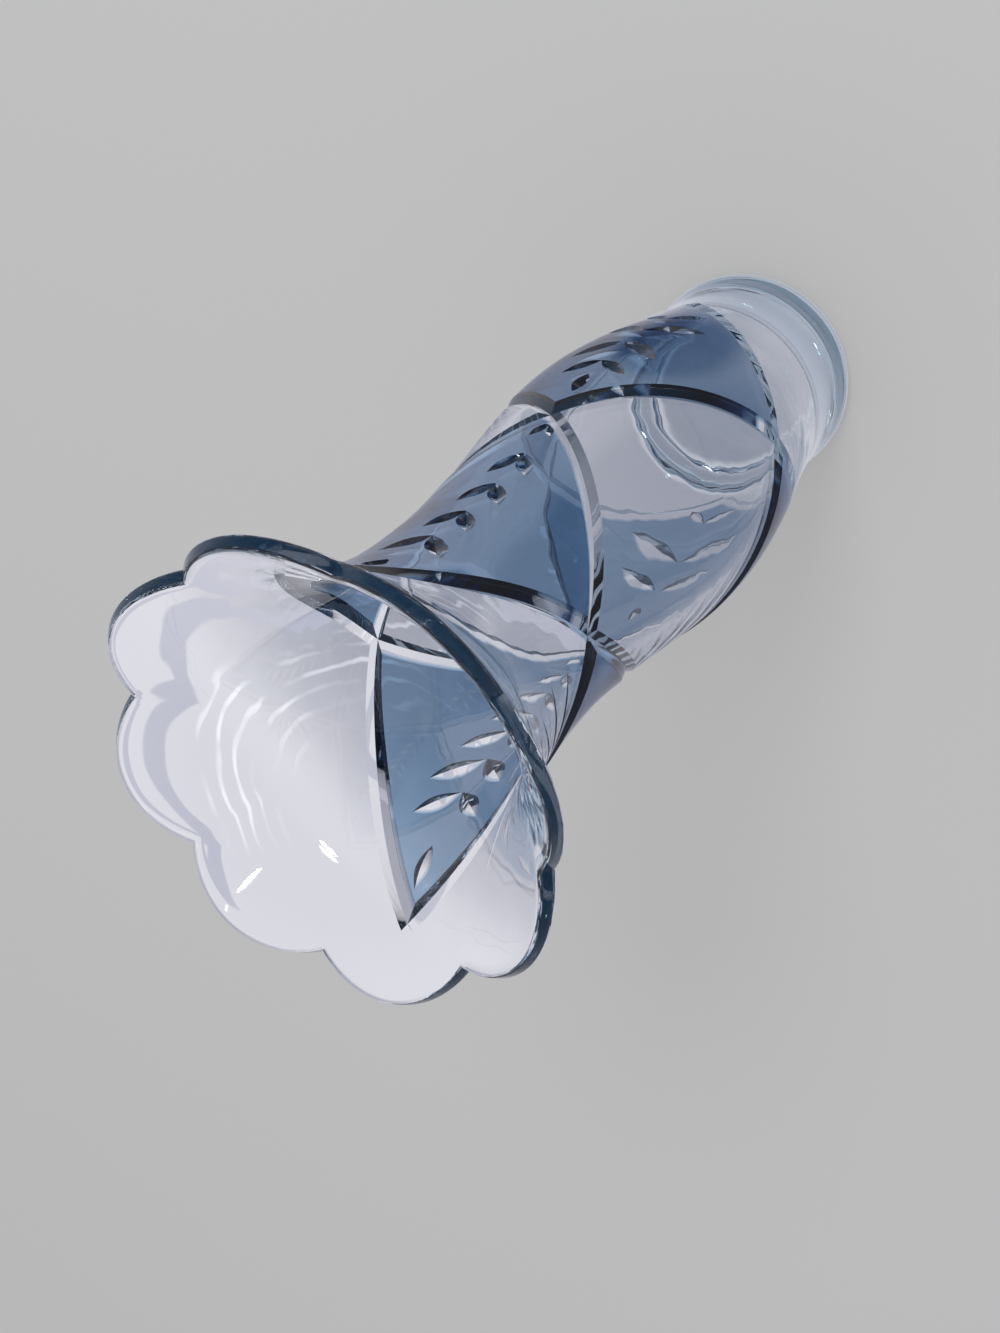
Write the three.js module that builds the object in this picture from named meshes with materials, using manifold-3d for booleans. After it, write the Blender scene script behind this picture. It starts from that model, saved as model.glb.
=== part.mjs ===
// A cut-to-clear crystal vase: a thick clear body with a scalloped, flared rim, and four blue
// casing panels left standing between crossing mitre grooves, with leaf sprays cut through them
// into the clear glass and a fan of fine rays cut beside one groove. Millimetres, +Z up, origin
// at the centre of the underside of the foot.
import * as THREE from "three";
import { mergeGeometries, mergeVertices } from "three/addons/utils/BufferGeometryUtils.js";
import Module from "manifold-3d";

// Outline of the clear body: height above the table and outer radius of each station
const footHeight = 6;
const footRadius = 40.4;
const footRounding = 4;
const ankleHeight = 20;
const ankleRadius = 39;
const bellyHeight = 115;
const bellyRadius = 47.4;
const neckHeight = 220;
const neckRadius = 36.3;
const notchHeight = 295.5;
const notchRadius = 60;
const flarePower = 3;

// Scalloped rim: the lobes rise between the notches
const lobeCount = 8;
const lobeRise = 5.3;
const lobeRootHeight = 268;
const rimBevel = 0.6;

// Walls and the solid base
const rimWall = 4.2;
const bodyWall = 5.6;
const baseThickness = 30;
const floorCornerRadius = 12;

// Blue casing and the fit between it and the body
const casingThickness = 0.6;
const fusedGap = 0.3;
const casingTurn = 0;

// Levels at which the crossing grooves meet, from the rim down to the foot
const rimTipHeight = 286;
const neckCrossingHeight = 224;
const bodyCrossingHeight = 161.5;
const bellyCrossingHeight = 100;
const footTipHeight = 41;

// Mitre grooves of the lattice. The legs below the rim sag at their middle, and two crossings
// that were cut by eye stand off their places by some degrees.
const grooveDepth = 1.2;
const grooveHalfAngle = 65;
const flareSag = 4.5;
const bodyCrossingDrift = -5;
const bellyCrossingDrift = 8;

// Leaf cuts: a leaf's width is its length divided by its slimness
const leafDepth = 2.3;
const leafSlimness = 2.4;
const endLeafLength = 12;

// The spray of each panel: its turn off the middle of the panel in degrees, the height of the
// root of its end leaf, and its pairs of leaves. A pair has the height of its roots, the lean of
// its leaves off straight up in degrees, and their length.
const sprays = {
  upper_right: {
    turn: -10,
    endLeafHeight: 259,
    pairs: [
      [238, 36, 15],
      [221, 30, 13],
      [203.5, 30, 13],
      [186, 28, 13],
      [169, 25, 8],
    ],
  },
  lower_right: {
    turn: -8,
    endLeafHeight: 138,
    pairs: [
      [128, 55, 13],
      [110, 54, 18],
      [96, 122, 21],
      [76, 128, 14],
    ],
  },
  upper_left: {
    turn: -2,
    endLeafHeight: 266,
    pairs: [
      [247.5, 47, 15],
      [232.5, 45, 18],
      [217, 43, 17],
      [201.5, 40, 16],
      [186, 36, 14],
      [171, 30, 9],
    ],
  },
  lower_left: {
    turn: -4,
    endLeafHeight: 123,
    pairs: [
      [110, 118, 24],
      [88, 113, 29],
      [61, 130, 15],
    ],
  },
};

// Fan of rays, which opens from the middle of a groove leg into the clear glass above it
const rayCount = 7;
const rayLength = 30;
const rayWidth = 1.4;
const rayDepth = 0.7;
const fanTurn = 225;
const fanSpread = 132;
const fanLean = 45;

// Fineness of the facets
const roundSegments = 48;
const footRows = 3;
const ankleRows = 2;
const bellyRows = 5;
const waistRows = 7;
const flareRows = 7;
const innerFlareRows = 4;
const innerRows = 3;
const panelCells = 12;
const grooveSteps = 32;
const leafSteps = 2;
const raySteps = 2;
const cutterClearance = 1.5;

const wasm = await Module();
wasm.setup();

const degrees = Math.PI / 180;
const lobeAngle = (360 / lobeCount) * degrees;
const crossingLevels = [
  rimTipHeight,
  neckCrossingHeight,
  bodyCrossingHeight,
  bellyCrossingHeight,
  footTipHeight,
];
const sides = { right: casingTurn * degrees, left: casingTurn * degrees + Math.PI };
const tiers = { upper: 0, lower: 2 };
const quarterTurn = Math.PI / 2;
const casingTop = fusedGap + casingThickness;
const drifts = [
  { place: sides.right, leg: 2, turn: bodyCrossingDrift },
  { place: sides.right - quarterTurn, leg: 3, turn: bellyCrossingDrift },
];

// A closed mesh with shared vertices, as a solid that can be joined and cut
function toSolid(geometry) {
  const bare = new THREE.BufferGeometry();
  bare.setAttribute("position", geometry.getAttribute("position"));
  if (geometry.index) bare.setIndex(geometry.index);
  const merged = mergeVertices(bare, 1e-4);
  const index = merged.index.array;
  const corners = [];
  for (let i = 0; i < index.length; i += 3) {
    const [a, b, c] = [index[i], index[i + 1], index[i + 2]];
    if (a !== b && b !== c && c !== a) corners.push(a, b, c);
  }
  return new wasm.Manifold(
    new wasm.Mesh({
      numProp: 3,
      vertProperties: merged.attributes.position.array,
      triVerts: new Uint32Array(corners),
    }),
  );
}

// A solid as a named mesh of the scene
function toMesh(name, solid, material) {
  const { vertProperties, triVerts } = solid.getMesh();
  const geometry = new THREE.BufferGeometry();
  geometry.setAttribute("position", new THREE.BufferAttribute(vertProperties, 3));
  geometry.setIndex(new THREE.BufferAttribute(triVerts, 1));
  geometry.computeVertexNormals();
  const mesh = new THREE.Mesh(geometry, material);
  mesh.name = name;
  return mesh;
}

// Outer radius of the clear body at a height above the foot's widest ring
function outerRadius(height) {
  const blend = (low, high, from, to) =>
    from + (to - from) * THREE.MathUtils.smoothstep(height, low, high);
  if (height < ankleHeight) return blend(footHeight, ankleHeight, footRadius, ankleRadius);
  if (height < bellyHeight) return blend(ankleHeight, bellyHeight, ankleRadius, bellyRadius);
  if (height < neckHeight) return blend(bellyHeight, neckHeight, bellyRadius, neckRadius);
  const along = (height - neckHeight) / (notchHeight - neckHeight);
  return neckRadius + (notchRadius - neckRadius) * along ** flarePower;
}

// How much the radius grows for each millimetre of height
function outerSlope(height) {
  const step = 0.01;
  return (outerRadius(height + step) - outerRadius(height - step)) / (2 * step);
}

// Point of the outer surface at an angle and a height, moved outwards by a distance
function surfacePoint(angle, height, outwards) {
  const slope = outerSlope(height);
  const scale = outwards / Math.hypot(1, slope);
  const radius = outerRadius(height) + scale;
  return new THREE.Vector3(
    radius * Math.cos(angle),
    radius * Math.sin(angle),
    height - scale * slope,
  );
}

// Heights spread evenly over a stretch, without its last one
function rows(from, to, count) {
  return Array.from({ length: count }, (_, i) => from + ((to - from) * i) / count);
}

// Wall thickness at a height: thicker in the body than at the rim
function wallAt(height) {
  return THREE.MathUtils.mapLinear(height, 0, notchHeight, bodyWall, rimWall);
}

// Inner wall point beside the outer surface at a height
function innerPoint(height) {
  const point = surfacePoint(0, height, -wallAt(height));
  return new THREE.Vector2(point.x, point.z);
}

// Outline of the clear body, from the centre of the underside up the outside, over the rim and
// down the inside to the centre of the inner floor
function bodyOutline() {
  const foot = rows(-quarterTurn, 0, footRows).map(
    (turn) =>
      new THREE.Vector2(
        footRadius - footRounding + footRounding * Math.cos(turn),
        footHeight + footHeight * Math.sin(turn),
      ),
  );
  const outside = [
    ...rows(footHeight, ankleHeight, ankleRows),
    ...rows(ankleHeight, bellyHeight, bellyRows),
    ...rows(bellyHeight, neckHeight, waistRows),
    ...rows(neckHeight, notchHeight, flareRows),
  ].map((height) => new THREE.Vector2(outerRadius(height), height));
  const outerEdge = surfacePoint(0, notchHeight, 0);
  const innerEdge = surfacePoint(0, notchHeight, -rimWall);
  const across = new THREE.Vector3().subVectors(innerEdge, outerEdge).setLength(rimBevel);
  const along = new THREE.Vector3(-across.z, 0, across.x).negate();
  const rim = [
    outerEdge.clone().sub(along),
    outerEdge.clone().add(across),
    innerEdge.clone().sub(across),
    innerEdge.clone().sub(along),
  ].map((point) => new THREE.Vector2(point.x, point.z));
  const cornerHeight = baseThickness + floorCornerRadius;
  const inside = [
    ...rows(notchHeight, neckHeight, innerFlareRows).slice(1),
    ...rows(neckHeight, bellyHeight, innerRows),
    ...rows(bellyHeight, cornerHeight, innerRows),
  ].map(innerPoint);
  const wallFoot = innerPoint(cornerHeight);
  const corner = [...rows(0, -quarterTurn, innerRows), -quarterTurn].map(
    (turn) =>
      new THREE.Vector2(
        wallFoot.x - floorCornerRadius + floorCornerRadius * Math.cos(turn),
        cornerHeight + floorCornerRadius * Math.sin(turn),
      ),
  );
  const underside = new THREE.Vector2(0, 0);
  const floor = new THREE.Vector2(0, baseThickness);
  return [underside, ...foot, ...outside, ...rim, ...inside, ...corner, floor];
}

// Height of the lobes at an angle, from 0 at a notch to 1 at the middle of a lobe
function lobeShare(angle) {
  const fromMiddle = angle / lobeAngle - Math.round(angle / lobeAngle);
  return 1 - (2 * fromMiddle) ** 2;
}

// The clear body before cutting: a revolved outline whose rim is drawn out into lobes
function bodyBlank() {
  const geometry = new THREE.LatheGeometry(bodyOutline(), roundSegments);
  geometry.rotateX(Math.PI / 2);
  const position = geometry.getAttribute("position");
  for (let i = 0; i < position.count; i += 1) {
    const point = new THREE.Vector3().fromBufferAttribute(position, i);
    const share = (point.z - lobeRootHeight) / (notchHeight - lobeRootHeight);
    if (share <= 0) continue;
    const angle = Math.atan2(point.y, point.x);
    const lift = lobeRise * lobeShare(angle) * Math.min(share, 1) ** 2;
    const lifted = point.z + lift;
    const radius = Math.hypot(point.x, point.y) + outerRadius(lifted) - outerRadius(point.z);
    position.setXYZ(i, radius * Math.cos(angle), radius * Math.sin(angle), lifted);
  }
  return toSolid(geometry);
}

// A wheel cut: a V-shaped bar that follows a path on the surface. The path gives the angle and
// height at a share of its length, and tip gives how far outside the surface the V's edge lies.
function wheelCut(path, tip, halfAngle, steps) {
  const section = new THREE.Shape([
    new THREE.Vector2(0, 0),
    new THREE.Vector2(1, 1),
    new THREE.Vector2(-1, 1),
  ]);
  const geometry = new THREE.ExtrudeGeometry(section, {
    depth: 1,
    steps,
    bevelEnabled: false,
  });
  const position = geometry.getAttribute("position");
  const nudge = 1e-3;
  for (let i = 0; i < position.count; i += 1) {
    const share = position.getZ(i);
    const here = surfacePoint(...path(share), 0);
    const outwards = surfacePoint(...path(share), 1).sub(here);
    const ahead = surfacePoint(...path(share + nudge), 0);
    const behind = surfacePoint(...path(share - nudge), 0);
    const across = new THREE.Vector3().crossVectors(outwards, ahead.sub(behind)).normalize();
    const edge = tip(share);
    const top = casingTop + cutterClearance;
    const halfWidth = (top - edge) * Math.tan(halfAngle);
    const height = position.getY(i) > 0.5 ? top : edge;
    here.addScaledVector(outwards, height);
    here.addScaledVector(across, position.getX(i) * halfWidth);
    position.setXYZ(i, here.x, here.y, here.z);
  }
  return toSolid(geometry);
}

// Height at a share of a leg of the lattice
function legHeight(leg, along) {
  const straight = THREE.MathUtils.lerp(crossingLevels[leg], crossingLevels[leg + 1], along);
  return leg === 0 ? straight - 4 * flareSag * along * (1 - along) : straight;
}

// A point of the regular lattice, moved along with the crossings that stand off their places
function drifted(angle, height) {
  return drifts.reduce(
    ([moved, level], { place, leg, turn }) => {
      const aside = Math.acos(Math.cos(angle - place)) / quarterTurn;
      const next = height > crossingLevels[leg] ? leg - 1 : leg + 1;
      const above = (height - crossingLevels[leg]) / (crossingLevels[next] - crossingLevels[leg]);
      return [moved + turn * degrees * Math.max(1 - Math.max(aside, above), 0), level];
    },
    [angle, height],
  );
}

// A groove of the lattice, which winds once round the vase from a rim tip to a foot tip
function latticeGroove(startAngle, direction) {
  const legs = crossingLevels.length - 1;
  const path = (share) => {
    const leg = THREE.MathUtils.clamp(Math.floor(share * legs), 0, legs - 1);
    const angle = startAngle + direction * share * legs * quarterTurn;
    return drifted(angle, legHeight(leg, share * legs - leg));
  };
  return wheelCut(path, () => -grooveDepth, grooveHalfAngle * degrees, grooveSteps);
}

// A short straight cut on the surface from a point, in a direction measured from straight up
function shortPath(angle, height, lean, length) {
  const rise = length * Math.cos(lean);
  const sideways = length * Math.sin(lean);
  return (share) => {
    const radius = outerRadius(height + (rise * share) / 2);
    return [angle + (sideways * share) / radius, height + rise * share];
  };
}

// One leaf: deepest and widest at its middle, and fading out at both ends
function leafCut(angle, height, lean, length) {
  const tip = (share) => casingTop - leafDepth * Math.sin(Math.PI * share);
  const halfAngle = Math.atan(length / leafSlimness / 2 / leafDepth);
  return wheelCut(shortPath(angle, height, lean, length), tip, halfAngle, leafSteps);
}

// The leaves of one spray: its end leaf, and its pairs that lean away from the stem line
function sprayCuts(angle, spray) {
  const stem = angle + spray.turn * degrees;
  const leaves = spray.pairs.flatMap(([height, lean, length]) =>
    [1, -1].map((side) => leafCut(stem, height, side * lean * degrees, length)),
  );
  return [leafCut(stem, spray.endLeafHeight, 0, endLeafLength), ...leaves];
}

// A fan of rays, from a point on a groove into the clear glass on one side of it
function rayFan(angle, height) {
  const halfAngle = Math.atan(rayWidth / 2 / rayDepth);
  const tip = (share) => -rayDepth * Math.sin(Math.PI * share);
  return Array.from({ length: rayCount }, (_, i) => {
    const lean = (fanLean + (i / (rayCount - 1) - 0.5) * fanSpread) * degrees;
    return wheelCut(shortPath(angle, height, lean, rayLength), tip, halfAngle, raySteps);
  });
}

// A closed block whose six sides are gridded sheets, placed by a function of its three shares
function sheetBlock(cells, place) {
  const faces = [
    [cells, cells, (s, t) => place(s, t, 1)],
    [cells, cells, (s, t) => place(t, s, 0)],
    [cells, 1, (s, t) => place(1, s, t)],
    [1, cells, (s, t) => place(0, t, s)],
    [cells, 1, (s, t) => place(s, 0, t)],
    [1, cells, (s, t) => place(t, 1, s)],
  ];
  const sheets = faces.map(([columns, lines, placeOnFace]) => {
    const sheet = new THREE.PlaneGeometry(1, 1, columns, lines);
    const position = sheet.getAttribute("position");
    for (let i = 0; i < position.count; i += 1) {
      const point = placeOnFace(position.getX(i) + 0.5, position.getY(i) + 0.5);
      position.setXYZ(i, point.x, point.y, point.z);
    }
    return sheet;
  });
  return toSolid(mergeGeometries(sheets));
}

// A casing panel before cutting: a diamond between two tips and two crossings of the grooves
function panelBlank(angle, topLevel) {
  return sheetBlock(panelCells, (right, left, layer) => {
    const leg = right + left > 1 ? topLevel + 1 : topLevel;
    const height = legHeight(leg, right + left - (leg - topLevel));
    const place = drifted(angle + (left - right) * quarterTurn, height);
    return surfacePoint(...place, fusedGap + layer * casingThickness);
  });
}

// A solid after all of its cuts
function cutAll(blank, cuts) {
  return cuts.reduce((solid, cut) => solid.subtract(cut), blank);
}

const crystal = new THREE.MeshStandardMaterial({
  color: 0xdcdbe6,
  roughness: 0.04,
  metalness: 0,
  transparent: true,
  opacity: 0.35,
});
const blueCasing = new THREE.MeshStandardMaterial({
  color: 0x4f7fa6,
  roughness: 0.06,
  metalness: 0,
  transparent: true,
  opacity: 0.75,
});

const grooves = Object.values(sides).flatMap((angle) => [
  latticeGroove(angle, 1),
  latticeGroove(angle, -1),
]);
const fan = rayFan((casingTurn + fanTurn) * degrees, legHeight(0, 0.5));
const leaves = [];

const vase = new THREE.Group();
for (const [side, angle] of Object.entries(sides)) {
  for (const [tier, topLevel] of Object.entries(tiers)) {
    const spray = sprayCuts(angle, sprays[`${tier}_${side}`]);
    const panel = cutAll(panelBlank(angle, topLevel), [...grooves, ...spray]);
    vase.add(toMesh(`${tier}_casing_${side}`, panel, blueCasing));
    leaves.push(...spray);
  }
}
vase.add(toMesh("crystal_body", cutAll(bodyBlank(), [...grooves, ...fan, ...leaves]), crystal));

export default vase;
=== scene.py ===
"""Looks of the cut-to-clear crystal vase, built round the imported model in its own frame.

Sizes are in millimetres, as in the part's source, and become metres when a piece is finished.
"""

import math

import bmesh
import bpy
from mathutils import Matrix, Vector


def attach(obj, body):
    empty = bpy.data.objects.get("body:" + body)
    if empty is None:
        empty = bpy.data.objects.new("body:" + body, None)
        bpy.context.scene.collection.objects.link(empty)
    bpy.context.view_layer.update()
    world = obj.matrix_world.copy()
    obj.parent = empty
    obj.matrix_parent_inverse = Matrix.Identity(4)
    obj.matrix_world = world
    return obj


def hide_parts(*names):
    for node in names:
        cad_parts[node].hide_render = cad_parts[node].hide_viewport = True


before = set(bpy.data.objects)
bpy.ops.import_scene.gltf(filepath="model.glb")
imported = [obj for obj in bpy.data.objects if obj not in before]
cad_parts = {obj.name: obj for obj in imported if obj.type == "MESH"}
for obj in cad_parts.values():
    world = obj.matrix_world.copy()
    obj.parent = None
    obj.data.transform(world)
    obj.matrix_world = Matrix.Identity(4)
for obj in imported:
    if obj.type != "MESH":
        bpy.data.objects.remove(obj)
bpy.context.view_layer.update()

MM = 0.001

# Outline of the clear body
FOOT_HEIGHT = 6
FOOT_RADIUS = 40.4
FOOT_ROUNDING = 4
ANKLE_HEIGHT = 20
ANKLE_RADIUS = 39
BELLY_HEIGHT = 115
BELLY_RADIUS = 47.4
NECK_HEIGHT = 220
NECK_RADIUS = 36.3
NOTCH_HEIGHT = 295.5
NOTCH_RADIUS = 60
FLARE_POWER = 3

# Scalloped rim, walls and base
LOBE_COUNT = 8
LOBE_RISE = 5.3
LOBE_ROOT_HEIGHT = 268
RIM_ROUNDING = 1
RIM_WALL = 4.2
BODY_WALL = 5.6
BASE_THICKNESS = 30
FLOOR_CORNER_RADIUS = 12

# Blue casing: it reaches a hair into the clear body, as fused glass does
CASING_TOP = 0.6
CASING_ROOT = -0.05

# Lattice of mitre grooves
CROSSING_LEVELS = (286, 224, 161.5, 100, 41)
GROOVE_DEPTH = 1.2
GROOVE_HALF_ANGLE = math.radians(65)
FLARE_SAG = 4.5

# Leaf sprays, each with its turn off the middle of its panel in degrees, the root of its end
# leaf, and its pairs of leaves: height of the root, lean off straight up in degrees, length
LEAF_DEPTH = 2
LEAF_SLIMNESS = 2.4
END_LEAF_LENGTH = 12
SPRAYS = {
    "upper_right": (-10, 259, ((238, 36, 15), (221, 30, 13), (203.5, 30, 13), (186, 28, 13),
                               (169, 25, 8))),
    "lower_right": (-8, 138, ((128, 55, 13), (110, 54, 18), (96, 122, 21), (76, 128, 14))),
    "upper_left": (-2, 266, ((247.5, 47, 15), (232.5, 45, 18), (217, 43, 17),
                             (201.5, 40, 16), (186, 36, 14), (171, 30, 9))),
    "lower_left": (-4, 123, ((110, 118, 24), (88, 113, 29), (61, 130, 15))),
}

# Fan of rays, which opens from the middle of one groove leg into the clear glass
FAN_TURN = math.radians(225)
FAN_LEAN = math.radians(45)
FAN_SPREAD = math.radians(132)
RAY_COUNT = 7
RAY_LENGTH = 30
RAY_WIDTH = 1.4
RAY_DEPTH = 0.7

SIDES = {"right": 0.0, "left": math.pi}
QUARTER_TURN = math.pi / 2

# Crossings cut by eye: their place, their level, and how far they stand off in degrees
DRIFTS = ((0.0, 2, -5), (-QUARTER_TURN, 3, 8))

# Fineness of the meshes: steps round the vase, then up each stretch of its outline
ROUND_STEPS = 192
ARC_STEPS = 12
ANKLE_STEPS = 8
OUTER_BODY_STEPS = 72
OUTER_FLARE_STEPS = 36
RIM_STEPS = 6
INNER_FLARE_STEPS = 30
INNER_BODY_STEPS = 48
PANEL_CELLS = 64
GROOVE_STEPS = 480
CUT_STEPS = 16
CUTTER_CLEARANCE = 1
RIM_CLEARANCE = 0.5
SLOPE_STEP = 0.01
PATH_STEP = 1e-3
SAME_POINT = 0.001
CRISP_ANGLE = math.radians(14)


# Shape of the vase

def smooth(share):
    return share * share * (3 - 2 * share)


def outer_radius(height):
    """Outer radius of the clear body at a height above the foot's widest ring."""
    stations = [(FOOT_HEIGHT, FOOT_RADIUS), (ANKLE_HEIGHT, ANKLE_RADIUS),
                (BELLY_HEIGHT, BELLY_RADIUS), (NECK_HEIGHT, NECK_RADIUS)]
    for (low, start), (high, end) in zip(stations, stations[1:]):
        if height < high:
            share = min(max((height - low) / (high - low), 0), 1)
            return start + (end - start) * smooth(share)
    along = (height - NECK_HEIGHT) / (NOTCH_HEIGHT - NECK_HEIGHT)
    return NECK_RADIUS + (NOTCH_RADIUS - NECK_RADIUS) * along ** FLARE_POWER


def outer_slope(height):
    rise = outer_radius(height + SLOPE_STEP) - outer_radius(height - SLOPE_STEP)
    return rise / (2 * SLOPE_STEP)


def surface_point(angle, height, outwards=0.0):
    """Point of the outer surface, moved outwards by a distance."""
    slope = outer_slope(height)
    scale = outwards / math.hypot(1, slope)
    radius = outer_radius(height) + scale
    return Vector((radius * math.cos(angle), radius * math.sin(angle), height - scale * slope))


def spread(start, end, count):
    """Numbers spread evenly from a start, without the end itself."""
    return [start + (end - start) * i / count for i in range(count)]


def inner_point(height):
    wall = BODY_WALL + (RIM_WALL - BODY_WALL) * height / NOTCH_HEIGHT
    return surface_point(0, height, -wall)


def body_outline():
    """Outline from the centre of the underside, up the outside, over the rim and down inside."""
    arc = [Vector((math.cos(turn), 0, math.sin(turn)))
           for turn in spread(-QUARTER_TURN, 0, ARC_STEPS)]
    foot = [Vector((FOOT_RADIUS - FOOT_ROUNDING + FOOT_ROUNDING * p.x, 0, FOOT_HEIGHT * (1 + p.z)))
            for p in arc]
    outside = [surface_point(0, height) for height in (
        spread(FOOT_HEIGHT, ANKLE_HEIGHT, ANKLE_STEPS)
        + spread(ANKLE_HEIGHT, NECK_HEIGHT, OUTER_BODY_STEPS)
        + spread(NECK_HEIGHT, NOTCH_HEIGHT, OUTER_FLARE_STEPS))]
    outer_edge = surface_point(0, NOTCH_HEIGHT)
    inner_edge = surface_point(0, NOTCH_HEIGHT, -RIM_WALL)
    across = (inner_edge - outer_edge).normalized()
    up = Vector((across.z, 0, -across.x))
    middle = outer_edge.lerp(inner_edge, 0.5) - up * RIM_ROUNDING
    flat = RIM_WALL / 2 - RIM_ROUNDING
    rim = []
    for side in (-1, 1):
        for step in range(RIM_STEPS + 1):
            turn = QUARTER_TURN * step / RIM_STEPS
            if side > 0:
                turn = QUARTER_TURN - turn
            rim.append(middle + across * side * (flat + RIM_ROUNDING * math.cos(turn))
                       + up * RIM_ROUNDING * math.sin(turn))
    while outside[-1].z > rim[0].z - RIM_CLEARANCE:
        outside.pop()
    corner_height = BASE_THICKNESS + FLOOR_CORNER_RADIUS
    inside = [inner_point(height) for height in (
        spread(NOTCH_HEIGHT, NECK_HEIGHT, INNER_FLARE_STEPS)[1:]
        + spread(NECK_HEIGHT, corner_height, INNER_BODY_STEPS))]
    wall_foot = inner_point(corner_height)
    centre = wall_foot - Vector((FLOOR_CORNER_RADIUS, 0, 0))
    corner = [centre + FLOOR_CORNER_RADIUS * Vector((math.cos(turn), 0, math.sin(turn)))
              for turn in spread(0, -QUARTER_TURN, ARC_STEPS) + [-QUARTER_TURN]]
    underside = Vector((0, 0, 0))
    floor = Vector((0, 0, corner[-1].z))
    return [underside] + foot + outside + rim + inside + corner + [floor]


def lobe_share(angle):
    """0 at a notch of the rim, 1 at the middle of a lobe."""
    turn = angle * LOBE_COUNT / math.tau
    return 1 - (2 * (turn - round(turn))) ** 2


def draw_out_lobes(bm):
    for vert in bm.verts:
        share = (vert.co.z - LOBE_ROOT_HEIGHT) / (NOTCH_HEIGHT - LOBE_ROOT_HEIGHT)
        if share <= 0:
            continue
        angle = math.atan2(vert.co.y, vert.co.x)
        height = vert.co.z + LOBE_RISE * lobe_share(angle) * min(share, 1) ** 2
        radius = vert.co.xy.length + outer_radius(height) - outer_radius(vert.co.z)
        vert.co = (radius * math.cos(angle), radius * math.sin(angle), height)


# Making pieces

def face_out(bm):
    """Turns all faces of a closed body outwards, also where it is thin and bent."""
    bmesh.ops.recalc_face_normals(bm, faces=bm.faces)
    if bm.calc_volume(signed=True) < 0:
        bmesh.ops.reverse_faces(bm, faces=bm.faces)


def as_object(bm, name):
    """An object from a bmesh in millimetres."""
    face_out(bm)
    mesh = bpy.data.meshes.new(name)
    bm.to_mesh(mesh)
    bm.free()
    piece = bpy.data.objects.new(name, mesh)
    bpy.context.collection.objects.link(piece)
    return piece


def revolved(outline, steps):
    """A closed body of revolution about Z."""
    bm = bmesh.new()
    verts = [bm.verts.new(point) for point in outline]
    edges = [bm.edges.new(pair) for pair in zip(verts, verts[1:])]
    bmesh.ops.spin(bm, geom=verts + edges, cent=(0, 0, 0), axis=(0, 0, 1), angle=math.tau,
                   steps=steps, use_merge=True)
    bmesh.ops.remove_doubles(bm, verts=bm.verts, dist=SAME_POINT)
    return bm


def wheel_cut(path, tip, half_angle, steps):
    """A V-shaped bar along a path on the surface: what a cutting wheel takes away."""
    bm = bmesh.new()
    face = bm.faces.new([bm.verts.new(corner) for corner in ((0, 0, 0), (1, 1, 0), (-1, 1, 0))])
    grown = bmesh.ops.extrude_face_region(bm, geom=[face])["geom"]
    bmesh.ops.translate(bm, vec=(0, 0, 1),
                        verts=[item for item in grown if isinstance(item, bmesh.types.BMVert)])
    lengthwise = [edge for edge in bm.edges if edge.verts[0].co.z != edge.verts[1].co.z]
    bmesh.ops.subdivide_edges(bm, edges=lengthwise, cuts=steps - 1, use_grid_fill=True)
    top = CASING_TOP + CUTTER_CLEARANCE
    for vert in bm.verts:
        share = vert.co.z
        here = surface_point(*path(share))
        outwards = surface_point(*path(share), 1) - here
        along = surface_point(*path(share + PATH_STEP)) - surface_point(*path(share - PATH_STEP))
        across = outwards.cross(along).normalized()
        edge = tip(share)
        height = top if vert.co.y > 0.5 else edge
        half_width = (top - edge) * math.tan(half_angle)
        vert.co = here + outwards * height + across * vert.co.x * half_width
    return bm


def leg_height(leg, along):
    """Height at a share of a leg of the lattice; the legs below the rim sag at their middle."""
    straight = CROSSING_LEVELS[leg] + (CROSSING_LEVELS[leg + 1] - CROSSING_LEVELS[leg]) * along
    return straight - 4 * FLARE_SAG * along * (1 - along) if leg == 0 else straight


def drifted(angle, height):
    """A point of the regular lattice, moved along with the crossings that were cut by eye."""
    moved = angle
    for place, leg, turn in DRIFTS:
        aside = math.acos(math.cos(angle - place)) / QUARTER_TURN
        following = leg - 1 if height > CROSSING_LEVELS[leg] else leg + 1
        above = ((height - CROSSING_LEVELS[leg])
                 / (CROSSING_LEVELS[following] - CROSSING_LEVELS[leg]))
        moved += math.radians(turn) * max(1 - max(aside, above), 0)
    return moved, height


def lattice_groove(start, direction):
    """A groove that winds once round the vase, from a rim tip to a foot tip."""
    legs = len(CROSSING_LEVELS) - 1

    def path(share):
        leg = min(max(math.floor(share * legs), 0), legs - 1)
        angle = start + direction * share * legs * QUARTER_TURN
        return drifted(angle, leg_height(leg, share * legs - leg))

    return wheel_cut(path, lambda share: -GROOVE_DEPTH, GROOVE_HALF_ANGLE, GROOVE_STEPS)


def short_path(angle, height, lean, length):
    rise = length * math.cos(lean)
    sideways = length * math.sin(lean)

    def path(share):
        return (angle + sideways * share / outer_radius(height + rise * share / 2),
                height + rise * share)

    return path


def leaf_cut(angle, height, lean, length):
    """A leaf, deepest and widest at its middle."""
    return wheel_cut(short_path(angle, height, lean, length),
                     lambda share: CASING_TOP - LEAF_DEPTH * math.sin(math.pi * share),
                     math.atan(length / LEAF_SLIMNESS / 2 / LEAF_DEPTH), CUT_STEPS)


def ray_cut(angle, height, lean):
    return wheel_cut(short_path(angle, height, lean, RAY_LENGTH),
                     lambda share: -RAY_DEPTH * math.sin(math.pi * share),
                     math.atan(RAY_WIDTH / 2 / RAY_DEPTH), CUT_STEPS)


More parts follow.
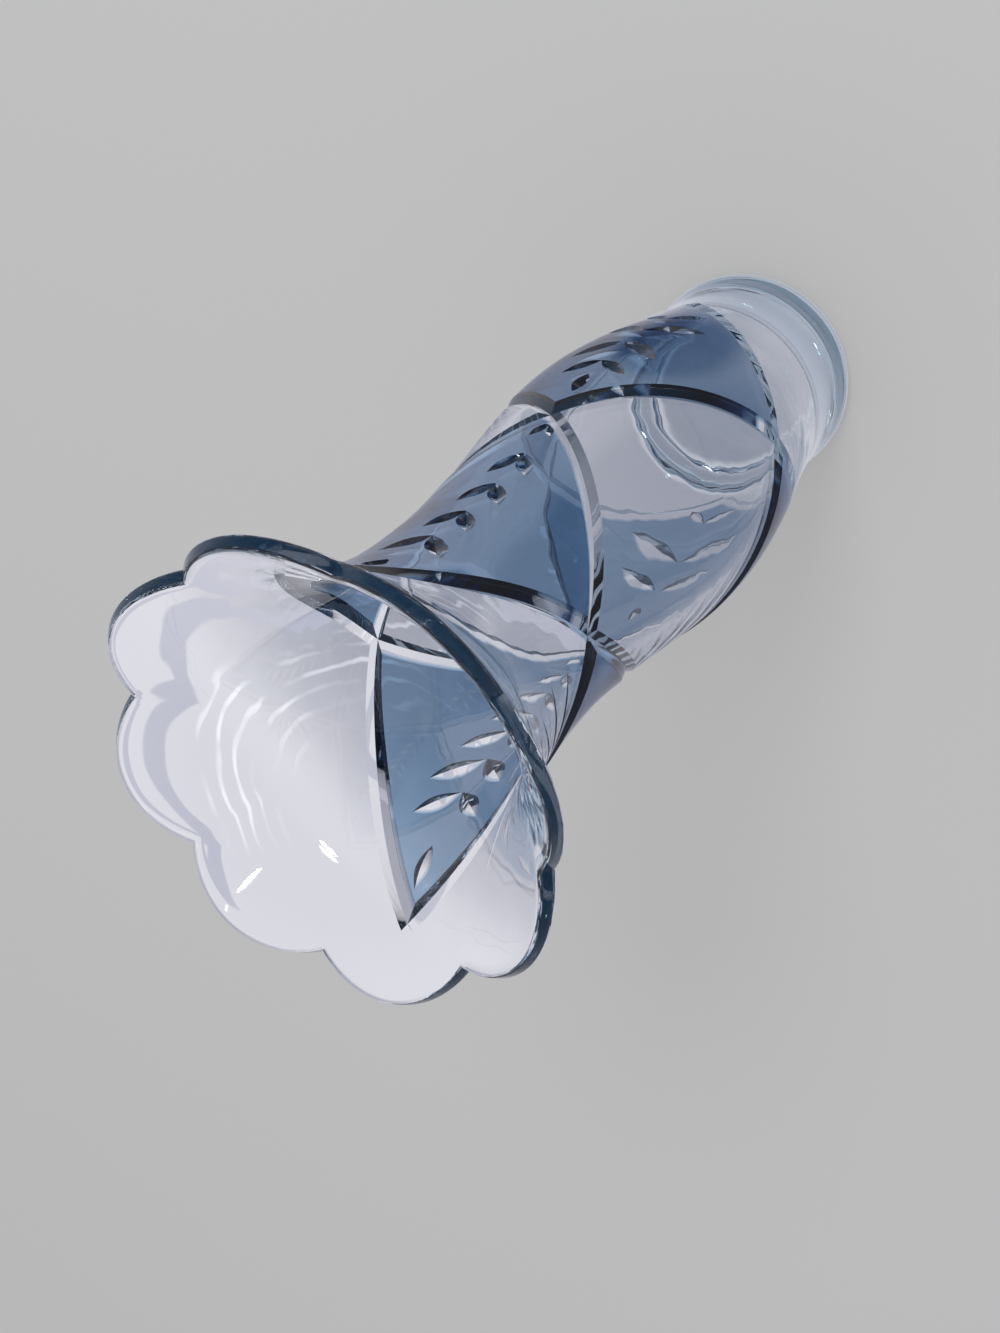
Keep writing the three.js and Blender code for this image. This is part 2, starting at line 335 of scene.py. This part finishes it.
def gathered(cuts, name):
    """Cuts that don't touch each other, as one cutter."""
    whole = bmesh.new()
    for bm in cuts:
        face_out(bm)
        mesh = bpy.data.meshes.new(name)
        bm.to_mesh(mesh)
        bm.free()
        whole.from_mesh(mesh)
        bpy.data.meshes.remove(mesh)
    return as_object(whole, name)


def spray_cuts(angle, spray):
    """Cutters of a panel's spray: leaves that lean right, leaves that lean left, end leaf."""
    turn, end_height, pairs = spray
    stem = angle + math.radians(turn)
    right, left = [[leaf_cut(stem, height, side * math.radians(lean), length)
                    for height, lean, length in pairs] for side in (1, -1)]
    return right, left, [leaf_cut(stem, end_height, 0, END_LEAF_LENGTH)]


def panel_blank(angle, top_level):
    """A casing diamond before cutting, between two tips and two crossings of the grooves."""
    bm = bmesh.new()
    bmesh.ops.create_grid(bm, x_segments=PANEL_CELLS, y_segments=PANEL_CELLS, size=0.5)
    grown = bmesh.ops.extrude_face_region(bm, geom=bm.faces[:])["geom"]
    bmesh.ops.translate(bm, vec=(0, 0, 1),
                        verts=[item for item in grown if isinstance(item, bmesh.types.BMVert)])
    for vert in bm.verts:
        right, left = vert.co.x + 0.5, vert.co.y + 0.5
        leg = top_level + 1 if right + left > 1 else top_level
        place = drifted(angle + (left - right) * QUARTER_TURN,
                        leg_height(leg, right + left - (leg - top_level)))
        vert.co = surface_point(*place, CASING_ROOT + vert.co.z * (CASING_TOP - CASING_ROOT))
    return bm


def carve(piece, cutters):
    """Takes the cutters away from a piece and keeps only the result."""
    for cutter in cutters:
        cut = piece.modifiers.new("cut", "BOOLEAN")
        cut.operation = "DIFFERENCE"
        cut.solver = "MANIFOLD"
        cut.object = cutter
    shape = bpy.data.meshes.new_from_object(
        piece.evaluated_get(bpy.context.evaluated_depsgraph_get()))
    piece.modifiers.clear()
    uncut = piece.data
    piece.data = shape
    bpy.data.meshes.remove(uncut)


def finish_piece(piece, material, nodes):
    """Metres, polished curves with crisp cut edges, material, and place in the model."""
    piece.data.transform(Matrix.Scale(MM, 4))
    piece.data.materials.clear()
    piece.data.materials.append(material)
    piece.data.shade_smooth()
    piece.data.set_sharp_from_angle(angle=CRISP_ANGLE)
    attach(piece, "root")
    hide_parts(*nodes)


# Materials

class Value:
    """A number socket that adds Math nodes when it is used in an expression."""

    def __init__(self, paint, socket):
        self.paint = paint
        self.socket = socket

    def _math(self, operation, *inputs):
        return self.paint.add("Math", {"operation": operation}, dict(enumerate(inputs)))["Value"]

    def __add__(self, other):
        return self._math("ADD", self, other)

    def __sub__(self, other):
        return self._math("SUBTRACT", self, other)

    def __rsub__(self, other):
        return self._math("SUBTRACT", other, self)

    def __mul__(self, other):
        return self._math("MULTIPLY", self, other)

    def clamp(self):
        return self._math("MINIMUM", self._math("MAXIMUM", self, 0.0), 1.0)

    def smaller(self, other):
        return self._math("MINIMUM", self, other)

    def fraction(self):
        return self._math("FRACT", self)

    def size(self):
        return self._math("ABSOLUTE", self)

    __radd__ = __add__
    __rmul__ = __mul__


class Paint:
    """Nodes of one material or of the world."""

    def __init__(self, owner):
        owner.use_nodes = True
        self.tree = owner.node_tree
        self.tree.nodes.clear()

    def add(self, kind, settings, inputs):
        """Adds a node: its settings first, then values or links of its input sockets."""
        node = self.tree.nodes.new("ShaderNode" + kind)
        for name, value in settings.items():
            setattr(node, name, value)
        for name, value in inputs.items():
            socket = node.inputs[name]
            if isinstance(value, Value):
                self.tree.links.new(value.socket, socket)
            else:
                socket.default_value = value
        outputs = {}
        for index, output in enumerate(node.outputs):
            outputs[index] = outputs[output.name] = Value(self, output)
        return outputs

    def vector(self, operation, *inputs):
        return self.add("VectorMath", {"operation": operation}, dict(enumerate(inputs)))

    def mixed(self, share, first, second):
        """A colour between two colours."""
        return self.add("Mix", {"data_type": "RGBA"}, {0: share, 6: first, 7: second})[2]

    def part_of(self, vector, axis):
        return self.add("SeparateXYZ", {}, {"Vector": vector})[axis]


def rgb(red, green, blue):
    return (red, green, blue, 1)


# Polish: size of its patterns, and the depth of what is left on the outside and the inside
GLASS_IOR = 1.52
WAVE_SCALE = 45.0
RING_SCALE = 50.0
MARK_SCALE = 900.0
OUTER_WAVES = 0.12
INNER_WAVES = 0.5
INNER_RINGS = 0.012
RELIEF_DEPTH = 0.0004
INSIDE_SHARPNESS = 4

# Painted dark shade on the top of the polished rim: how far its faces lean both up and out, and
# how quickly it sets in
RIM_TOP_SHADE_COLOUR = rgb(0.007, 0.022, 0.045)
RIM_TOP_SHADE_ROUGHNESS = 0.2
RIM_TOP_SHADE_GLOSS = 0.25
RIM_TOP_SHADE_LEAN = 0.35
RIM_TOP_SHADE_SHARPNESS = 8


def glass(name, tint, density, roughness, rim_top_shade_share):
    """Polished lead crystal with slow waves and rings inside, and painted dark shade on the rim's
    top if asked.
    """
    material = bpy.data.materials.new(name)
    paint = Paint(material)
    place = paint.add("TexCoord", {}, {})["Object"]
    surface = paint.add("NewGeometry", {}, {})
    towards_outside = 1 - 2 * surface["Backfacing"]
    from_axis = paint.vector("NORMALIZE", paint.vector("MULTIPLY", place, (1, 1, 0))[0])[0]
    facing_out = (towards_outside
                  * paint.vector("DOT_PRODUCT", surface["Normal"], from_axis)["Value"])
    inside = (facing_out * -INSIDE_SHARPNESS).clamp()
    waves = paint.add("TexNoise", {},
                      {"Vector": place, "Scale": WAVE_SCALE, "Detail": 1.0})["Fac"]
    rings = paint.add("TexWave", {"wave_type": "BANDS", "bands_direction": "Z"}, {
        "Vector": place, "Scale": RING_SCALE, "Distortion": 2.0, "Detail": 1.0})["Fac"]
    marks = paint.add("TexNoise", {},
                      {"Vector": place, "Scale": MARK_SCALE, "Detail": 3.0})["Fac"]
    relief = waves * OUTER_WAVES + inside * (waves * INNER_WAVES + rings * INNER_RINGS)
    bump = paint.add("Bump", {}, {"Height": relief, "Strength": 1.0, "Distance": RELIEF_DEPTH})
    shader = paint.add("BsdfPrincipled", {"distribution": "GGX"}, {
        "Base Color": rgb(1, 1, 1),
        "Roughness": roughness + roughness * marks,
        "IOR": GLASS_IOR,
        "Transmission Weight": 1.0,
        "Normal": bump["Normal"],
    })["BSDF"]
    if rim_top_shade_share:
        # Painted shade: a dark glossy layer mixed over the faces of the rim that lean both up and
        # out
        facing_up = towards_outside * paint.part_of(surface["Normal"], "Z")
        lean = facing_up.smaller(facing_out) - RIM_TOP_SHADE_LEAN
        rim_top_shade = paint.add("BsdfPrincipled", {}, {
            "Base Color": RIM_TOP_SHADE_COLOUR,
            "Roughness": RIM_TOP_SHADE_ROUGHNESS,
            "Specular IOR Level": RIM_TOP_SHADE_GLOSS,
        })["BSDF"]
        shader = paint.add("MixShader", {}, {
            0: (lean * RIM_TOP_SHADE_SHARPNESS).clamp() * rim_top_shade_share, 1: shader, 2: rim_top_shade})["Shader"]
    volume = paint.add("VolumeAbsorption", {}, {"Color": tint, "Density": density})["Volume"]
    paint.add("OutputMaterial", {}, {"Surface": shader, "Volume": volume})
    return material


crystal = glass("clear_crystal", rgb(0.30, 0.50, 0.60), 7.0, 0.006, rim_top_shade_share=0.85)
blue_casing = glass("blue_casing", rgb(0.14, 0.44, 0.66), 1800.0, 0.008, rim_top_shade_share=0)


# The vase

def groove_cutters():
    return [as_object(lattice_groove(start, direction), "groove_cutter")
            for start in SIDES.values() for direction in (1, -1)]


def fan_cutters():
    height = leg_height(0, 0.5)
    return [as_object(ray_cut(FAN_TURN, height, FAN_LEAN + turn), "ray_cutter")
            for turn in spread(-FAN_SPREAD / 2, FAN_SPREAD / 2, RAY_COUNT - 1) + [FAN_SPREAD / 2]]


def leaf_cutters():
    right, left, ends = [], [], []
    for side, angle in SIDES.items():
        for tier in ("upper", "lower"):
            cuts = spray_cuts(angle, SPRAYS[f"{tier}_{side}"])
            for group, part in zip((right, left, ends), cuts):
                group.extend(part)
    return [gathered(group, "leaf_cutter") for group in (right, left, ends)]


grooves = groove_cutters()
leaves = leaf_cutters()
rays = fan_cutters()

blank = revolved(body_outline(), ROUND_STEPS)
draw_out_lobes(blank)
body = as_object(blank, "crystal_body_polished")
carve(body, grooves + leaves + rays)
finish_piece(body, crystal, ["crystal_body"])

for side, angle in SIDES.items():
    for tier, top_level in (("upper", 0), ("lower", 2)):
        panel = as_object(panel_blank(angle, top_level), f"{tier}_casing_{side}_cut")
        carve(panel, grooves + leaves)
        finish_piece(panel, blue_casing, [f"{tier}_casing_{side}"])

for cutter in grooves + leaves + rays:
    bpy.data.meshes.remove(cutter.data)


# Floor, light and camera

FLOOR_HALF_WIDTH = 6000
FLOOR_GAP = 0.2

# Colours of the floor and backdrop, as the camera, the lamps and the glass see them
GREY = rgb(0.52, 0.52, 0.52)
MATT = rgb(0.45, 0.45, 0.45)
PALE = rgb(0.80, 0.79, 0.86)
SOFT_WHITE = rgb(0.9, 0.9, 0.92)
CAMERA_SHARE = 0.5
GLASS_SHARE = 0.85

# What the glass sees round it: a dim room behind the camera, and a pale window side
ROOM = rgb(0.05, 0.08, 0.16)
WINDOW_SIDE = rgb(0.55, 0.56, 0.64)
WINDOW_DIRECTION = (-0.40, 0.50, 0.77)
WINDOW_SPREAD = (0.0, 0.6)
HORIZON_RISE = (0.0, 0.4)

# Painted shade on the floor, seen only in the glass: centre, and reach in metres
SHADE = rgb(0.38, 0.39, 0.47)
SHADE_CENTRE = (-0.09, 0.09, 0)
SHADE_REACH = (0.12, 0.26)
DEEP_SHADE = rgb(0.02, 0.05, 0.16)
DEEP_SHADE_CENTRE = (0.095, -0.01, 0)
DEEP_SHADE_REACH = (0.07, 0.04)
NEAR_SIDE_SHADE = rgb(0.20, 0.23, 0.32)
NEAR_SIDE = (-0.03, -0.13)
NEAR_REACH = (1.6, 0.5)

# Ring of light round the foot, with its inner and its outer edge in metres
GLOW = rgb(0.95, 0.94, 1.0)
GLOW_INNER_EDGE = (0.034, 0.040)
GLOW_OUTER_EDGE = (0.062, 0.046)
GLOW_SHARE = 0.6

# Shade of the scalloped rim on the floor, in metres
RIM_SHADE = rgb(0.57, 0.57, 0.68)
RIM_SHADE_CENTRE = (-0.2275, 0.244, 0)
RIM_SHADE_RADIUS = 0.150
RIM_SHADE_LOBE = 0.020
RIM_SHADE_EDGE = (0.009, 0.006)
RIM_SHADE_TURN = math.radians(51.4)

# Rings of light inside the rim's shade, in metres and radians
RING_LIGHT = rgb(1.6, 1.6, 1.7)
RING_SPACING = 0.013
RING_CREST = (0.12, 0)
RING_INNER_EDGE = (0.06, 0.10)
RING_OUTER_EDGE = (0.142, 0.132)
RING_START = (-0.9, -0.4)
RING_END = (1.9, 1.4)
RING_PATCH_SCALE = 18.0
RING_PATCHES = (0.42, 0.62)
RING_SHARE = 0.4

# Lamps: place, aim, size across and along, watts, and whether the glass mirrors the lamp
BELLY = (0, 0, 0.15)
MOUTH = (0, 0, 0.28)
LAMPS = {
    "key": ((0.9, -0.3, 1.2), BELLY, (0.5, 0.5), 8, False),
    "spark_low": ((0.83, -0.34, 0.57), MOUTH, (0.25, 0.03), 0.5, True),
    "spark_high": ((0.61, -0.60, 1.23), MOUTH, (0.04, 0.25), 0.5, True),
}

# Camera, fitted to the photograph: place in millimetres and axes of the picture
CAMERA_PLACE = (152.26, -219.07, 525.20)
PICTURE_RIGHT = Vector((-0.25296, -0.84789, -0.46593))
PICTURE_DOWN = Vector((-0.88079, 0.00257, 0.47350))
PICTURE_DEPTH = Vector((-0.40028, 0.53016, -0.74746))
LENS = 39.40
SENSOR_WIDTH = 36
NEAREST = 0.01
GLASS_BOUNCES = 40


def smooth_step(value, low, high):
    share = ((value - low) * (1 / (high - low))).clamp()
    return share * share * (3 - share * 2)


def saw(value):
    """Runs from -1 to 1 over each whole number."""
    return value.fraction() * 2 - 1


def shaded_floor(paint, place):
    """Pale floor with painted shade in places and a painted ring of light round the foot."""
    from_shade = paint.vector("DISTANCE", place, SHADE_CENTRE)["Value"]
    colour = paint.mixed(smooth_step(from_shade, *SHADE_REACH), SHADE, PALE)
    # Painted deep shade beside the foot, then painted shade over the near side of the floor
    from_deep_shade = paint.vector("DISTANCE", place, DEEP_SHADE_CENTRE)["Value"]
    colour = paint.mixed(smooth_step(from_deep_shade, *DEEP_SHADE_REACH), colour, DEEP_SHADE)
    from_foot = paint.vector("LENGTH", place)["Value"]
    near_shade = smooth_step(paint.part_of(place, "Y"), *NEAR_SIDE) * smooth_step(from_foot, *NEAR_REACH)
    colour = paint.mixed(near_shade, colour, NEAR_SIDE_SHADE)
    glow = smooth_step(from_foot, *GLOW_INNER_EDGE) * smooth_step(from_foot, *GLOW_OUTER_EDGE)
    return paint.mixed(glow * GLOW_SHARE, colour, GLOW)


def rim_on_floor(paint, place, colour):
    """Adds the shade and the rings of light that the rim throws."""
    offset = paint.vector("SUBTRACT", place, RIM_SHADE_CENTRE)["Vector"]
    reach = paint.vector("LENGTH", offset)["Value"]
    turn = paint.add("Math", {"operation": "ARCTAN2"}, {
        0: paint.part_of(offset, "Y"), 1: paint.part_of(offset, "X")})["Value"]
    across_lobe = saw((turn - RIM_SHADE_TURN) * (LOBE_COUNT / math.tau))
    line = RIM_SHADE_RADIUS + RIM_SHADE_LOBE * (1 - across_lobe * across_lobe)
    colour = paint.mixed(smooth_step((reach - line).size(), *RIM_SHADE_EDGE), colour, RIM_SHADE)
    across_ring = saw(reach * (1 / RING_SPACING))
    patchy = paint.add("TexNoise", {},
                       {"Vector": place, "Scale": RING_PATCH_SCALE, "Detail": 2.0})["Fac"]
    light = (smooth_step(across_ring * across_ring, *RING_CREST)
             * smooth_step(reach, *RING_INNER_EDGE) * smooth_step(reach, *RING_OUTER_EDGE)
             * smooth_step(turn, *RING_START) * smooth_step(turn, *RING_END)
             * smooth_step(patchy, *RING_PATCHES))
    return paint.mixed(light * RING_SHARE, colour, RING_LIGHT)


def seen_in_glass(path):
    return (path["Is Transmission Ray"] + path["Is Glossy Ray"]).clamp()


def make_floor():
    """A pale floor, which also shows through the glass; a hair of air lies under the foot."""
    bm = bmesh.new()
    bmesh.ops.create_grid(bm, x_segments=1, y_segments=1, size=FLOOR_HALF_WIDTH)
    bmesh.ops.translate(bm, vec=(0, 0, -FLOOR_GAP), verts=bm.verts)
    floor = as_object(bm, "floor")
    floor.data.transform(Matrix.Scale(MM, 4))
    material = bpy.data.materials.new("pale_floor")
    paint = Paint(material)
    path = paint.add("LightPath", {}, {})
    through = seen_in_glass(path)
    place = paint.add("TexCoord", {}, {})["Object"]
    seen = rim_on_floor(paint, place, shaded_floor(paint, place))
    matt = paint.add("BsdfDiffuse", {}, {"Color": MATT})["BSDF"]
    shown = paint.add("Emission", {}, {
        "Color": paint.mixed(through, GREY, seen), "Strength": 1.0})["Emission"]
    share = (through * GLASS_SHARE + path["Is Camera Ray"] * CAMERA_SHARE).clamp()
    mixed = paint.add("MixShader", {}, {0: share, 1: matt, 2: shown})["Shader"]
    paint.add("OutputMaterial", {}, {"Surface": mixed})
    floor.data.materials.append(material)


def make_world():
    """Soft white light all round, which the camera sees as grey and the glass as a room."""
    world = bpy.data.worlds.new("studio")
    bpy.context.scene.world = world
    paint = Paint(world)
    path = paint.add("LightPath", {}, {})
    direction = paint.add("TexCoord", {}, {})["Generated"]
    to_window = paint.vector("DOT_PRODUCT", direction, WINDOW_DIRECTION)["Value"]
    room = paint.mixed(smooth_step(to_window, *WINDOW_SPREAD), ROOM, WINDOW_SIDE)
    room = paint.mixed(smooth_step(paint.part_of(direction, "Z"), *HORIZON_RISE), PALE, room)
    colour = paint.mixed(seen_in_glass(path), SOFT_WHITE, room)
    colour = paint.mixed(path["Is Camera Ray"], colour, GREY)
    light = paint.add("Background", {}, {"Color": colour, "Strength": 1.0})["Background"]
    paint.add("OutputWorld", {}, {"Surface": light})


def soft_light(name, place, aim, size, power, mirrored):
    """An oval lamp, which shows in the glass only if it is mirrored."""
    data = bpy.data.lights.new(name, "AREA")
    data.shape = "ELLIPSE"
    data.size, data.size_y = size
    data.energy = power
    lamp = bpy.data.objects.new(name, data)
    lamp.visible_glossy = lamp.visible_transmission = mirrored
    place = Vector(place)
    lamp.matrix_world = (Matrix.Translation(place)
                         @ (Vector(aim) - place).to_track_quat("-Z", "Y").to_matrix().to_4x4())
    bpy.context.collection.objects.link(lamp)


def make_camera():
    """The photograph's view, which looks down into the mouth of the vase lying on its side."""
    data = bpy.data.cameras.new("camera")
    data.lens = LENS
    data.sensor_width = SENSOR_WIDTH
    data.clip_start = NEAREST
    camera = bpy.data.objects.new("camera", data)
    axes = Matrix((PICTURE_RIGHT, -PICTURE_DOWN, -PICTURE_DEPTH)).transposed()
    camera.matrix_world = Matrix.Translation(Vector(CAMERA_PLACE) * MM) @ axes.to_4x4()
    bpy.context.collection.objects.link(camera)
    bpy.context.scene.camera = camera


make_floor()
make_world()
for name, lamp in LAMPS.items():
    soft_light(name, *lamp)
make_camera()
scene = bpy.context.scene
scene.view_settings.view_transform = "Standard"
scene.cycles.max_bounces = GLASS_BOUNCES
scene.cycles.transmission_bounces = GLASS_BOUNCES
scene.cycles.glossy_bounces = GLASS_BOUNCES
